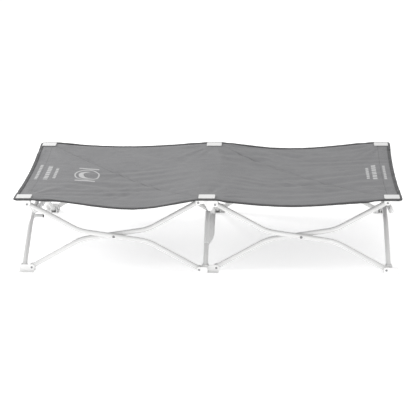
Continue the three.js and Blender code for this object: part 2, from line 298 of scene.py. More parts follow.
def weave_height(tree, coords, pitch):
    """Plain weave: yarns of each direction pass over and under the other's.

    Gives the height and the node that splits the flat place into its two distances.
    """
    split = node(tree, "ShaderNodeSeparateXYZ")
    tree.links.new(coords, split.inputs[0])
    turn = math.pi / pitch
    along = times(tree, split.outputs[0], turn)
    across = times(tree, split.outputs[1], turn)
    warp = math_node(tree, "ABSOLUTE", math_node(tree, "SINE", along))
    weft = math_node(tree, "ABSOLUTE", math_node(tree, "SINE", across))
    crossing = times(tree, math_node(tree, "COSINE", along), math_node(tree, "COSINE", across))
    over = scaled(tree, crossing, 0.5, 0.5)
    mixed = node(tree, "ShaderNodeMix")
    tree.links.new(over, mixed.inputs["Factor"])
    tree.links.new(warp, mixed.inputs["A"])
    tree.links.new(weft, mixed.inputs["B"])
    return mixed.outputs["Result"], split


def inside(tree, value, low, high, soft):
    """1 where value lies between low and high, with soft edges."""
    middle, half = (low + high) / 2, (high - low) / 2
    away = math_node(tree, "ABSOLUTE", minus(tree, value, middle))
    within = minus(tree, half, away)
    return math_node(tree, "MULTIPLY_ADD", within, 1 / soft, 0.5, True)


def larger(tree, a, b):
    return math_node(tree, "MAXIMUM", a, b)


def print_columns(tree, u, v):
    """Columns of plain dashes that run across the cot, in place of printed words."""
    rng = np.random.default_rng(SEED)
    mask = None
    for at, width, start, end in PRINT_COLUMNS:
        dash_pitch = rng.uniform(*DASH_PITCH)
        shifted = math_node(tree, "ADD", v, rng.uniform(0, dash_pitch))
        place = math_node(tree, "FRACT", math_node(tree, "DIVIDE", shifted, dash_pitch))
        dash = inside(tree, place, 0.08, 0.80, 0.06)
        column = inside(tree, u, at - width / 2, at + width / 2, PRINT_EDGE)
        reach = inside(tree, v, start, end, PRINT_EDGE)
        part = times(tree, times(tree, dash, column), reach)
        mask = part if mask is None else larger(tree, mask, part)
    return mask


def distance_from(tree, u, v, centre):
    """Distance from a centre, measured in the emblem's stretched round."""
    du = minus(tree, u, centre[0])
    dv = math_node(tree, "DIVIDE", minus(tree, v, centre[1]), EMBLEM_STRETCH)
    squares = math_node(tree, "ADD", times(tree, du, du), times(tree, dv, dv))
    return math_node(tree, "SQRT", squares)


def emblem(tree, u, v, centre, radius):
    """A crescent moon in a thin ring, with a plain bar on each side."""
    far = distance_from(tree, u, v, centre)
    ring = inside(tree, far, radius * 0.89, radius, EMBLEM_EDGE)
    disc = inside(tree, far, -radius * 0.66, radius * 0.66, PRINT_EDGE)
    bite_centre = (centre[0] + radius * 0.26, centre[1] + radius * 0.1)
    bite_far = distance_from(tree, u, v, bite_centre)
    bite = inside(tree, bite_far, -radius * 0.55, radius * 0.55, PRINT_EDGE)
    moon = math_node(tree, "SUBTRACT", disc, bite, clamp=True)
    mask = larger(tree, ring, moon)
    bar_half = 0.004
    for side in (-1, 1):
        at = centre[1] + side * radius * 1.5
        wide = inside(tree, v, at - bar_half, at + bar_half, EMBLEM_EDGE)
        reach = radius * 0.8
        tall = inside(tree, u, centre[0] - reach, centre[0] + reach, EMBLEM_EDGE)
        mask = larger(tree, mask, times(tree, wide, tall))
    return mask


def end_seam(tree, u, v):
    """A row of stitches near each end, where the end hem is sewn down."""
    from_middle = math_node(tree, "ABSOLUTE", u)
    line = inside(tree, from_middle, SEAM_AT - SEAM_HALF, SEAM_AT + SEAM_HALF, 0.0003)
    place = math_node(tree, "FRACT", math_node(tree, "DIVIDE", v, SEAM_PITCH))
    return times(tree, line, inside(tree, place, 0.1, 0.85, 0.1))


def crease_shade_line(tree, u, v, start, end):
    """A thin line of painted shade along a sharp fold."""
    length = math.dist(start, end)
    normal = ((start[1] - end[1]) / length, (end[0] - start[0]) / length)
    across = times(tree, minus(tree, u, start[0]), normal[0])
    down = times(tree, minus(tree, v, start[1]), normal[1])
    away = math_node(tree, "ADD", across, down)
    low, high = sorted((start[0], end[0]))
    line = inside(tree, away, -CREASE_SHADE_HALF, CREASE_SHADE_HALF, 0.003)
    return times(tree, line, inside(tree, u, low, high, 0.15))


def grey_cloth():
    """Coated plain-woven polyester, faintly mottled, with a pale generic print and painted shade
    along its long folds.
    """
    material, tree, shader = new_material("grey_cloth")
    coords = flat_coords(tree)
    height, split = weave_height(tree, coords, YARN_PITCH)
    u, v = split.outputs[0], split.outputs[1]
    cloudy = noise_node(tree, coords, 9, 5, 0.6)
    slub = noise_node(tree, coords, 420, 2)
    mix = scaled(tree, slub, 0.45, times(tree, cloudy, 0.55))
    tint = ramp_node(tree, mix, [(0.3, (0.180, 0.180, 0.186)), (0.7, (0.232, 0.232, 0.238))])
    marks = larger(tree, print_columns(tree, u, v), emblem(tree, u, v, EMBLEM_AT, EMBLEM_R))
    worn = scaled(tree, slub, 0.5, 0.42)
    cover = times(tree, marks, worn)
    inked = painted(tree, cover, tint, (0.72, 0.72, 0.72))
    seam = end_seam(tree, u, v)
    wander = scaled(tree, noise_node(tree, coords, 14, 2), 0.012, -0.006)
    bent_v = math_node(tree, "ADD", v, wander)
    # Painted shade: thin dark lines along the long diagonal folds, mixed in with the real
    # stitches' dark colour
    lines = larger(tree, *[crease_shade_line(tree, u, bent_v, *ends) for ends in CREASE_SHADE_LINES])
    dark = larger(tree, seam, times(tree, lines, 0.4))
    stitched_and_shaded = painted(tree, dark, inked, (0.06, 0.06, 0.062))
    tree.links.new(stitched_and_shaded, shader.inputs["Base Color"])
    rough = scaled(tree, slub, 0.2, 0.62)
    tree.links.new(rough, shader.inputs["Roughness"])
    shader.inputs["Sheen Weight"].default_value = 0.15
    shader.inputs["Sheen Roughness"].default_value = 0.5
    sunk = scaled(tree, seam, -2.0, height)
    weave = bump_node(tree, sunk, 0.00022, 0.8)
    crumple = noise_node(tree, coords, 60, 4)
    tree.links.new(bump_node(tree, crumple, 0.0006, 0.5, weave), shader.inputs["Normal"])
    return material


def dark_binding():
    """Ribbed grosgrain tape."""
    material, tree, shader = new_material("dark_binding")
    coords = flat_coords(tree)
    ribs = weave_height(tree, coords, RIB_PITCH)[0]
    cloudy = noise_node(tree, coords, 160, 3)
    tint = ramp_node(tree, cloudy, [(0.3, (0.022, 0.022, 0.024)), (0.7, (0.038, 0.038, 0.040))])
    tree.links.new(tint, shader.inputs["Base Color"])
    rough = scaled(tree, cloudy, 0.2, 0.65)
    tree.links.new(rough, shader.inputs["Roughness"])
    shader.inputs["Sheen Weight"].default_value = 0.3
    tree.links.new(bump_node(tree, ribs, 0.0002), shader.inputs["Normal"])
    return material


def thread():
    return moulded("thread", (0.17, 0.17, 0.18), 3000, 0.00006, (0.5, 0.7), 0.25)[0]


def pale_floor():
    """A white studio table, lit a little from below."""
    material, shader = moulded("pale_floor", (0.93, 0.93, 0.93), 60, 0.0, (0.85, 0.95), 0.01)
    shader.inputs["Emission Color"].default_value = (1, 1, 1, 1)
    shader.inputs["Emission Strength"].default_value = FLOOR_GLOW
    return material


LOOKS = {
    "white_tube": powder_coat(),
    "white_plastic": white_plastic(),
    "rivet_steel": rivet_steel(),
    "dark_plug": dark_rubber(),
    "label_vinyl": label_vinyl(),
    "grey_cloth": grey_cloth(),
    "dark_binding": dark_binding(),
}
THREAD = thread()


# ---- meshes
def add_object(name, data):
    made = bpy.data.objects.new(name, data)
    bpy.context.collection.objects.link(made)
    return made


def mesh_object(name, points, faces, slot, extra=()):
    mesh = bpy.data.meshes.new(name)
    mesh.from_pydata([tuple(map(float, p)) for p in points], [], [tuple(f) for f in faces])
    mesh.update()
    mesh.materials.append(LOOKS[slot])
    for material in extra:
        mesh.materials.append(material)
    mesh.polygons.foreach_set("use_smooth", [True] * len(mesh.polygons))
    made = add_object(name, mesh)
    return made


def grid_faces(rows, columns, closed_across=False):
    """Quads of a grid of points, given row by row; each row can close on itself."""
    faces = []
    last = columns if closed_across else columns - 1
    for i in range(rows - 1):
        for j in range(last):
            k = (j + 1) % columns
            here, above = i * columns, (i + 1) * columns
            faces.append((here + j, here + k, above + k, above + j))
    return faces


def lathe(profile, sides, origin, axis):
    """A turned shape with a flat face at each end: profile is (radius, height) pairs."""
    axis = Vector(axis).normalized()
    side = axis.orthogonal().normalized()
    other = axis.cross(side)
    points = []
    for radius, height in profile:
        for k in range(sides):
            turn = 2 * math.pi * k / sides
            out = side * (radius * math.cos(turn)) + other * (radius * math.sin(turn))
            points.append(Vector(origin) + axis * height + out)
    faces = grid_faces(len(profile), sides, True)
    faces.append(tuple(range(sides))[::-1])
    first = (len(profile) - 1) * sides
    faces.append(tuple(range(first, first + sides)))
    return points, faces


def nodes_named(*starts):
    return [name for name in sorted(frame["nodes"]) if name.startswith(starts)]


def body_of_node(name):
    for body, nodes in frame["record"]["behaviour"]["bodies"].items():
        if name in nodes:
            return body
    return None


def stand_for(piece, cad_node):
    """Puts a piece in the place of a CAD node, on the same body."""
    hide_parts(cad_node)
    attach(piece, body_of_node(cad_node))
    return piece


# ---- tubes
def pin_from_crossing():
    """The (level, height) distances from a tube's crossing to the pin at its lower end."""
    place = {joint["name"]: joint["pos_m"] for joint in frame["joints"]}
    pin, crossing = place[FOLD], place["crossing_front_left"]
    return np.array([pin[0] - crossing[0], pin[2] - crossing[2]])


PIN_AT = pin_from_crossing()


def tube_line():
    """Centreline of a tube that falls along its first axis, as (level, height) points."""
    level, drop = PIN_AT[0], -PIN_AT[1]
    slope = (drop - MIDDLE_DROP) / (level - BEND_AT)
    past = TUBE_PAST_PIN / math.hypot(1, slope)
    end = np.array([level + past, -drop - past * slope])
    bend = np.array([BEND_AT, -MIDDLE_DROP])
    return [-end, -bend, bend, end]


def eased(before, corner, after):
    """A round bend that replaces a corner."""
    start = corner + (before - corner) / np.linalg.norm(before - corner) * BEND_EASE
    stop = corner + (after - corner) / np.linalg.norm(after - corner) * BEND_EASE
    t = np.linspace(0, 1, BEND_STEPS)[:, None]
    return (1 - t) ** 2 * start + 2 * t * (1 - t) * corner + t**2 * stop


def tube_centreline():
    a, b, c, d = tube_line()
    return np.vstack([[a], eased(a, b, c), eased(b, c, d), [d]])


LINE = tube_centreline()


def placed_line(cad_node, line):
    """The line laid where a CAD tube is, with the frame (sideways, up) at each point."""
    low, high = box_corners(cad_node)
    middle = (low + high) / 2
    along = Vector((1, 0, 0)) if high.x - low.x > high.y - low.y else Vector((0, 1, 0))
    if cad_node.endswith("_rising"):
        along = -along
    side = Vector((0, 0, 1)).cross(along)
    up = Vector((0, 0, 1))
    points = [middle + along * float(p[0]) + up * float(p[1]) for p in line]
    frames = []
    for k in range(len(points)):
        before, after = points[max(k - 1, 0)], points[min(k + 1, len(points) - 1)]
        forward = (after - before).normalized()
        frames.append((side, forward.cross(side).normalized()))
    return points, frames


def circle(radius, sides):
    turns = [2 * math.pi * k / sides for k in range(sides)]
    return [(radius * math.cos(t), radius * math.sin(t)) for t in turns]


def tube_mesh(cad_node):
    """A bent tube with a rounded rim at each open end."""
    points, frames = placed_line(cad_node, LINE)
    rings = []
    for tip, inner in ((0, 1), (len(points) - 1, len(points) - 2)):
        inwards = (points[inner] - points[tip]).normalized()
        ends = [
            (points[tip] + inwards * BORE_DEPTH, TUBE_BORE_R),
            (points[tip] + inwards * BORE_ROUND, TUBE_BORE_R),
            (points[tip], TUBE_BORE_R + BORE_ROUND),
            (points[tip], TUBE_R - RIM_ROUND),
            (points[tip] + inwards * RIM_ROUND, TUBE_R),
        ]
        rings.append([(p, frames[tip], r) for p, r in ends])
    middle = [(p, f, TUBE_R) for p, f in zip(points[1:-1], frames[1:-1])]
    rows = rings[0] + middle + rings[1][::-1]
    vertices = []
    for p, (side, up), radius in rows:
        vertices += [p + side * s + up * t for s, t in circle(radius, TUBE_SIDES)]
    faces = grid_faces(len(rows), TUBE_SIDES, True)
    made = mesh_object("look_" + cad_node, vertices, faces, "white_tube")
    return stand_for(made, cad_node)


# ---- rivets and pins
HEAD_SIDES = 20
DOME_STEPS = 5
DOME_FROM = 0.35  # share of a head's height that is upright, below its dome
TIP_R = 0.0005  # flat tip of a pin's head
ROW_HEAD = (0.0034, 0.0013, 0.0005)  # radius, height, and how deep it starts in its face
ROW_HEAD_FACE = 0.012  # from a tube's plane to the top of the flat head on its outer ear
CROSS_HEAD = (0.0040, 0.0016, 0.0002)  # the same for a cross tube's pin
CROSS_HEAD_FACE = 0.0107  # from a cross tube's plane to just inside the ears' outer faces
CROSS_HEAD_SIDES = 18
RIVET_R = 0.0024
RIVET_HEAD_R = 0.0042
RIVET_HEAD_H = 0.0012
RIVET_RISE = 1.3  # its dome is this many times as high as the head of the solids
RIVET_TIP_R = 0.0004
RIVET_TIP_PAST = 0.0003


def dome(radius, height):
    """Profile of a domed head, from its flat side to its top."""
    turns = [math.pi / 2 * k / DOME_STEPS for k in range(DOME_STEPS)]
    rise = 1 - DOME_FROM
    return [(radius * math.cos(t), height * (DOME_FROM + rise * math.sin(t))) for t in turns]


def head_profile(radius, height, sunk):
    return [(radius, -sunk)] + dome(radius, height) + [(TIP_R, height)]


def rivet_mesh(cad_node):
    """A rivet with a domed head at each end."""
    low, high = box_corners(cad_node)
    size = high - low
    axis = Vector((1, 0, 0)) if size.x > size.y else Vector((0, 1, 0))
    reach = max(size.x, size.y) / 2
    shaft_end = reach - RIVET_HEAD_H
    one_side = [(RIVET_R, shaft_end), (RIVET_HEAD_R, shaft_end)]
    one_side += [(r, shaft_end + h * RIVET_RISE) for r, h in dome(RIVET_HEAD_R, RIVET_HEAD_H)]
    one_side.append((RIVET_TIP_R, reach + RIVET_TIP_PAST))
    profile = [(r, -h) for r, h in one_side[::-1]] + one_side
    points, faces = lathe(profile, HEAD_SIDES, (low + high) / 2, axis)
    stand_for(mesh_object("look_" + cad_node, points, faces, "rivet_steel"), cad_node)


def pin_heads():
    """Domed heads over the pins that the hubs and feet hold."""
    for joint in frame["joints"]:
        if joint["name"].startswith("cloth"):
            continue
        for body in (joint["parent"], joint["child"]):
            if not body.startswith(("hub_", "foot_")):
                continue
            add_pin_head(body, Vector(joint["pos_m"]), Vector(joint["axis"]))
    for body, at, axis in open_pivots():
        add_pin_head(body, at, axis)


def to_millimetre(place):
    return tuple(round(x, 3) for x in place)


def open_pivots():
    """Pins that close the linkage, which no joint of the tree stands for."""
    found = []
    pins = [joint for joint in frame["joints"] if not joint["name"].startswith("cloth")]
    stated = {to_millimetre(joint["pos_m"]) for joint in pins}
    for name in frame["nodes"]:
        if not name.startswith("tube_"):
            continue
        points, _ = placed_line(name, np.array([-PIN_AT, PIN_AT]))
        axis = Vector((0, 1, 0)) if "cross" not in name else Vector((1, 0, 0))
        for p in points:
            if to_millimetre(p) not in stated:
                found.append((nearest_holder(p), p, axis))
    return found


def nearest_holder(point):
    """The hub or foot whose middle is nearest."""

    def far(name):
        low, high = box_corners(name)
        return ((low + high) / 2 - point).length

    return min(nodes_named("hub_", "foot_"), key=far)


def add_pin_head(body, at, axis):
    """One head on the outer ear of a row's pin, or one on each side of a cross tube's."""
    if abs(axis.y) > 0.5:
        outward = -1 if at.y < 0 else 1
        origin = Vector((at.x, at.y + outward * ROW_HEAD_FACE, at.z))
        points, faces = lathe(head_profile(*ROW_HEAD), HEAD_SIDES, origin, (0, outward, 0))
        name = f"pin_{body}_{round(at.x * 1000)}"
        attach(mesh_object(name.replace("-", "m"), points, faces, "rivet_steel"), body)
        return
    for side in (-1, 1):
        origin = Vector((at.x + side * CROSS_HEAD_FACE, at.y, at.z))
        profile = head_profile(*CROSS_HEAD)
        points, faces = lathe(profile, CROSS_HEAD_SIDES, origin, (side, 0, 0))
        name = f"cross_pin_{body}_{'a' if side < 0 else 'b'}"
        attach(mesh_object(name, points, faces, "rivet_steel"), body)


# ---- moulded parts
SHARP_FROM = math.radians(38)  # an edge that turns more than this is sharp
FLAT_WITHIN = math.radians(1)
EDGE_ROUND = 0.0007
EDGE_STEPS = 3
CAP_RIM = 0.0028
CAP_SLOPE = 0.0006
CAP_RECESS = 0.0005


def clean_copy(cad_node):
    """The CAD solid's surface with its triangles joined into whole faces."""
    mesh = frame["nodes"][cad_node].data.copy()
    work = bmesh.new()
    work.from_mesh(mesh)
    bmesh.ops.remove_doubles(work, verts=work.verts, dist=1e-6)
    bmesh.ops.dissolve_limit(work, angle_limit=FLAT_WITHIN, verts=work.verts, edges=work.edges)
    if cad_node.startswith("cap_"):
        recess_top(work)
    for edge in work.edges:
        edge.smooth = edge.calc_face_angle(math.pi) < SHARP_FROM
    for face in work.faces:
        face.smooth = True
    work.to_mesh(mesh)
    work.free()
    return mesh


def recess_top(work):
    """A cap's top has a raised rim round a shallow recess."""
    top_z = max(v.co.z for v in work.verts)
    parts = [f for f in work.faces if all(top_z - v.co.z < 1e-5 for v in f.verts)]
    top = bmesh.ops.dissolve_faces(work, faces=parts)["region"]
    bmesh.ops.inset_region(work, faces=top, thickness=CAP_RIM)
    bmesh.ops.inset_region(work, faces=top, thickness=CAP_SLOPE, depth=-CAP_RECESS)


def dress_moulded(cad_node):
    """A moulded part of the CAD with its edges rounded."""
    mesh = clean_copy(cad_node)
    mesh.materials.clear()
    mesh.materials.append(LOOKS["white_plastic"])
    made = add_object("look_" + cad_node, mesh)
    bevel = made.modifiers.new("rounded", "BEVEL")
    bevel.width = EDGE_ROUND
    bevel.segments = EDGE_STEPS
    bevel.limit_method = "ANGLE"
    bevel.angle_limit = SHARP_FROM
    made.modifiers.new("even_shading", "WEIGHTED_NORMAL").keep_sharp = True
    stand_for(made, cad_node)


# ---- cloth
# How far each long edge hangs between its hubs, and where it hangs lowest
EDGE_DROOP = {
    ("left", "front"): (0.031, 0.60),
    ("left", "back"): (0.014, 0.48),
    ("right", "front"): (0.022, 0.45),
    ("right", "back"): (0.021, 0.46),
}
MIDDLE_DROOP = 0.78  # share of the edges' droop that the middle of a bay has
MIDDLE_SAG = 0.006  # how much lower the middle lies than a line across the cot
SAG_HALF = 0.262  # and half of the width over which it does
END_PULL = 0.0055  # how far the ends bow inwards between their hubs
EDGE_PULL = 0.003  # and the long edges
HUB_POINTS = [(x, y) for x in (-0.579, 0.0, 0.579) for y in (-0.272, 0.272)]
CLAMP_HALF = (0.027, 0.022)  # half of the area that a cap holds flat
CLAMP_FADE = 0.03  # and how far from it the folds reach their full depth
HUB_FOLDS = (7, 11, 17)  # folds round a hub, in three sizes
HUB_FOLD_DEPTH = 0.0017
CREASE_U = OUTER + 0.008  # where the diagonal creases end
CREASE_V = INNER_Y + 0.004
# Lines pressed into the sheet: two ends, depth and width
CREASES = [
    ((-CREASE_U, CREASE_V), (-0.02, -CREASE_V), 0.0036, 0.007),
    ((-CREASE_U, -CREASE_V), (-0.02, CREASE_V), 0.0010, 0.012),
    ((0.02, CREASE_V), (CREASE_U, -CREASE_V), 0.0040, 0.007),
    ((0.02, -CREASE_V), (CREASE_U, CREASE_V), 0.0010, 0.012),
    ((-0.30, 0.02), (-0.12, -0.24), 0.0009, 0.010),
    ((0.10, 0.20), (0.33, 0.05), 0.0010, 0.010),
]
CREASE_BOW = 0.01  # how far a crease strays from straight
LONG_FOLDS = 26
LONG_FOLD_DEPTH = 0.0018
RIPPLES = 14
RIPPLE_DEPTH = 0.00007
TURN = 6.28  # about a whole turn, for random phases
NORMAL_STEP = 0.001
EDGE_INSET = 0.002  # the sheet ends this far inside its binding


def smooth_step(x, low, high):
    t = np.clip((x - low) / (high - low), 0, 1)
    return t * t * (3 - 2 * t)


def hump(t, peak, power=1.2):
    """0 at both ends of a span and 1 at its peak."""
    t = np.clip(t, 0, 1)
    return np.sin(math.pi * t ** (math.log(0.5) / math.log(peak))) ** power


def bay_place(u):
    """Each bay's place along it: 0 at its left hub and 1 at its right one."""
    left = (u + OUTER) / (OUTER - BAND)
    right = (u - BAND) / (OUTER - BAND)
    return {"left": np.where(u < 0, left, 0), "right": np.where(u > 0, right, 0)}


def sag(u, v):
    """How far the sheet hangs below its hubs."""
    place = bay_place(u)
    droop = {"front": 0, "back": 0}
    for (bay, row), (depth, peak) in EDGE_DROOP.items():
        droop[row] = droop[row] + depth * hump(place[bay], peak)
    share = smooth_step(v, -HALF_W, HALF_W)
    edge = droop["front"] * (1 - share) + droop["back"] * share
    near_edge = np.abs(v / HALF_W) ** 3
    across = MIDDLE_SAG * np.clip(1 - (v / SAG_HALF) ** 2, 0, 1)
    return edge * (MIDDLE_DROOP + (1 - MIDDLE_DROOP) * near_edge) + across


def radial_folds(u, v, rng):
    """Soft folds that run out from the hubs, where the sheet is pulled."""
    total = np.zeros_like(u)
    for x, y in HUB_POINTS:
        du, dv = u - x, v - y
        r = np.hypot(du, dv)
        angle = np.arctan2(dv, du)
        fade = smooth_step(r, 0.028, 0.075) * np.exp(-((r / 0.17) ** 1.5))
        wave = np.zeros_like(u)
        for k in HUB_FOLDS:
            wave += np.cos(k * angle + rng.uniform(0, TURN)) / (k / HUB_FOLDS[0]) ** 0.7
        total += HUB_FOLD_DEPTH * fade * wave
    return total


def crease(u, v, start, end, depth, width):
    """One line pressed into the sheet when it was folded."""
    a, b = np.array(start), np.array(end)
    line = b - a
    length = np.linalg.norm(line)
    along = ((u - a[0]) * line[0] + (v - a[1]) * line[1]) / length**2
    away = ((u - a[0]) * -line[1] + (v - a[1]) * line[0]) / length
    bow = CREASE_BOW * np.sin(math.pi * np.clip(along, 0, 1))
    fade = smooth_step(along, 0.02, 0.14) * (1 - smooth_step(along, 0.86, 0.98))
    valley = np.exp(-np.abs(away - bow) / width)
    return -depth * fade * valley


def creases(u, v):
    return sum(crease(u, v, *line) for line in CREASES)


def long_folds(u, v, rng):
    """Waves that run between the hubs, each over its own stretch of a bay."""
    total = np.zeros_like(u)
    for _ in range(LONG_FOLDS):
        sign = rng.choice((-1, 1))
        middle = np.array([sign * rng.uniform(0.10, 0.48), rng.uniform(-0.22, 0.22)])
        heading = rng.normal(0, 0.33)
        du, dv = u - middle[0], v - middle[1]
        along = du * math.cos(heading) + dv * math.sin(heading)
        away = dv * math.cos(heading) - du * math.sin(heading)
        reach, pitch = rng.uniform(0.08, 0.2), rng.uniform(0.035, 0.075)
        wave = np.cos(2 * math.pi * away / pitch) * np.exp(-((away / (0.9 * pitch)) ** 2))
        total += rng.uniform(0.5, 1.3) * pitch / 0.05 * wave * np.exp(-((along / reach) ** 2))
    return LONG_FOLD_DEPTH * total


def ripples(u, v, rng):
    """Faint waves in every direction over the whole sheet."""
    total = np.zeros_like(u)
    for _ in range(RIPPLES):
        heading = rng.uniform(0, math.pi)
        pace = rng.uniform(110, 260)
        along = u * math.cos(heading) + v * math.sin(heading)
        total += np.sin(pace * along + rng.uniform(0, TURN))
    return RIPPLE_DEPTH * total


def clamped(u, v):
    """0 under the caps, where the sheet is flat, and 1 away from them."""
    free = np.ones_like(u)
    for x, y in HUB_POINTS:
        away = np.maximum(np.abs(u - x) - CLAMP_HALF[0], np.abs(v - y) - CLAMP_HALF[1])
        free *= smooth_step(away, 0.0, CLAMP_FADE)
    return free


def cloth_point(u, v):
    """Where a point of the flat sheet lies on the cot."""
    u, v = np.asarray(u, float), np.asarray(v, float)
    rng = np.random.default_rng(SEED)
    relief = radial_folds(u, v, rng) + creases(u, v)
    relief = relief + long_folds(u, v, rng) + ripples(u, v, rng)
    z = CLOTH_Z - sag(u, v) + relief * clamped(u, v)
    end = smooth_step(np.abs(u), OUTER - 0.12, HALF_L) * np.clip(1 - (v / 0.27) ** 2, 0, 1)
    x = u - np.sign(u) * END_PULL * end
    place = bay_place(u)
    middle = hump(place["left"], 0.5) + hump(place["right"], 0.5)
    y = v - np.sign(v) * EDGE_PULL * middle * smooth_step(np.abs(v), 0.15, HALF_W)
    return np.stack([x, y, z], -1)


def cloth_normal(u, v):
    along = cloth_point(u + NORMAL_STEP, v) - cloth_point(u - NORMAL_STEP, v)
    across = cloth_point(u, v + NORMAL_STEP) - cloth_point(u, v - NORMAL_STEP)
    normal = np.cross(along, across)
    return normal / np.linalg.norm(normal, axis=-1, keepdims=True)


def rounded_corner(u, v):
    """Brings the sheet's four square corners in to the round of the binding."""
    cu, cv = HALF_L - CORNER_R, HALF_W - CORNER_R
    du, dv = np.abs(u) - cu, np.abs(v) - cv
    corner = (du > 0) & (dv > 0)
    far = np.maximum(np.hypot(du, dv), 1e-9)
    limit = CORNER_R - EDGE_INSET
    shrink = np.where(corner & (far > limit), limit / far, 1.0)
    new_u = np.where(corner, np.sign(u) * (cu + du * shrink), u)
    new_v = np.where(corner, np.sign(v) * (cv + dv * shrink), v)
    edge_u, edge_v = HALF_L - EDGE_INSET, HALF_W - EDGE_INSET
    return np.clip(new_u, -edge_u, edge_u), np.clip(new_v, -edge_v, edge_v)


def carry_flat(mesh, u, v):
    """Stores each point's place on the flat sheet."""
    layer = mesh.uv_layers.new(name="flat")
    index = np.zeros(len(mesh.loops), int)
    mesh.loops.foreach_get("vertex_index", index)
    layer.data.foreach_set("uv", np.stack([u[index], v[index]], -1).astype(np.float32).ravel())


def cloth_piece(name, u, v, faces):
    """A piece of the sheet, with the whole sheet's normals so that no seam shows."""
    u, v = rounded_corner(np.asarray(u, float), np.asarray(v, float))
    made = mesh_object(name, cloth_point(u, v), faces, "grey_cloth")
    carry_flat(made.data, u, v)
    made.data.normals_split_custom_set_from_vertices([tuple(n) for n in cloth_normal(u, v)])
    return made


def rectangle_piece(name, u0, u1, v0, v1):
    cell = (OUTER - BAND) / CELLS
    rows = max(2, round((v1 - v0) / cell) + 1)
    columns = max(2, round((u1 - u0) / cell) + 1)
    u, v = np.meshgrid(np.linspace(u0, u1, columns), np.linspace(v0, v1, rows))
    return cloth_piece(name, u.ravel(), v.ravel(), grid_faces(rows, columns))


def which_panel(u, v, middle, sign):
    """The panel that a place in a bay belongs to."""
    if abs(v) >= abs(u - middle):
        return "front" if v < 0 else "back"
    return "outer" if (u - middle) * sign > 0 else "inner"


def bay_panels(bay, sign):
    """The four panels of a bay, cut along its diagonals."""
    lines_u = np.sort(sign * np.linspace(BAND, OUTER, CELLS + 1))
    lines_v = np.linspace(-INNER_Y, INNER_Y, CELLS + 1)
    u, v = (g.ravel() for g in np.meshgrid(lines_u, lines_v))
    middle = sign * (OUTER + BAND) / 2
    faces = {"front": [], "back": [], "outer": [], "inner": []}
    for a, b, c, d in grid_faces(CELLS + 1, CELLS + 1):
        for triangle in split_quad(u, v, (a, b, c, d), middle):
            mu, mv = np.mean([u[k] for k in triangle]), np.mean([v[k] for k in triangle])
            faces[which_panel(mu, mv, middle, sign)].append(triangle)
    for panel, own in faces.items():
        used = sorted({k for f in own for k in f})
        place = {k: n for n, k in enumerate(used)}
        local = [tuple(place[k] for k in f) for f in own]
        yield panel, cloth_piece(f"sheet_{bay}_{panel}", u[used], v[used], local)


def split_quad(u, v, quad, middle):
    """A cell as two triangles where a diagonal of the bay crosses it, or else whole."""
    a, b, c, d = quad
    du, dv = np.array([u[k] - middle for k in quad]), np.array([v[k] for k in quad])
    rising, falling = np.abs(du - dv) < 1e-6, np.abs(du + dv) < 1e-6
    if rising[0] and rising[2]:
        return [(a, b, c), (a, c, d)]
    if falling[1] and falling[3]:
        return [(a, b, d), (b, c, d)]
    return [quad]


# ---- binding
# The folded tape's section: depth inside the edge and height above the sheet
BINDING_TOP = [(0.0110, 0.0005), (0.0108, 0.0014), (0.0090, 0.0018)]
BINDING_TOP += [(0.0050, 0.0020), (0.0010, 0.0020), (-0.0006, 0.0014)]
BINDING_UNDER = [(deep, -high) for deep, high in BINDING_TOP[::-1]]
BINDING_SECTION = BINDING_TOP + [(-0.0012, 0.0)] + BINDING_UNDER
TAPE_STEP = 0.006
TAPE_LEAN_AT = 0.003  # the tape leans as the sheet does this far inside the edge
CORNER_STEPS = 8
STITCH_PITCH = 0.0032
STITCH_LENGTH = 0.0023
STITCH_WIDTH = 0.0007
STITCH_IN = 0.0082  # from the edge to the stitches
STITCH_HEIGHTS = (0.0016, 0.0021)  # its lower and upper side, from the sheet
STITCH_FACES = [(0, 1, 3, 2), (4, 6, 7, 5), (0, 4, 5, 1), (2, 3, 7, 6), (0, 2, 6, 4), (1, 5, 7, 3)]


def straight_edge(start, end, inward):
    """Places along a stretch of edge, each with the direction into the sheet."""
    length = math.dist(start, end)
    count = max(2, round(length / TAPE_STEP) + 1)
    t = np.linspace(0, 1, count)[:, None]
    places = (1 - t) * np.array(start) + t * np.array(end)
    return [(p, inward) for p in places]


def corner_edge(sign_u, sign_v):
    """The edge round a corner, from the long side to the end."""
    cu, cv = HALF_L - CORNER_R, HALF_W - CORNER_R
    side_start, side_stop = (sign_u * OUTER, sign_v * HALF_W), (sign_u * cu, sign_v * HALF_W)
    end_start, end_stop = (sign_u * HALF_L, sign_v * cv), (sign_u * HALF_L, sign_v * INNER_Y)
    found = straight_edge(side_start, side_stop, (0, -sign_v))
    for k in range(1, CORNER_STEPS):
        turn = math.pi / 2 * (1 - k / CORNER_STEPS)
        out = np.array([sign_u * math.cos(turn), sign_v * math.sin(turn)])
        found.append((np.array([sign_u * cu, sign_v * cv]) + out * CORNER_R, tuple(-out)))
    return found + straight_edge(end_start, end_stop, (-sign_u, 0))


def on_sheet(places, inwards, deep, high):
    """Points deep inside the edge and high above the sheet, with their flat places."""
    flat = places + inwards * deep[:, None]
    beside = places + inwards * TAPE_LEAN_AT
    raised = cloth_normal(beside[:, 0], beside[:, 1]) * high[:, None]
    return cloth_point(flat[:, 0], flat[:, 1]) + raised, flat


def tape_points(edge):
    places = np.repeat([p for p, _ in edge], len(BINDING_SECTION), axis=0)
    inwards = np.repeat([n for _, n in edge], len(BINDING_SECTION), axis=0)
    deep, high = np.tile(BINDING_SECTION, (len(edge), 1)).T
    return on_sheet(places, inwards, deep, high)


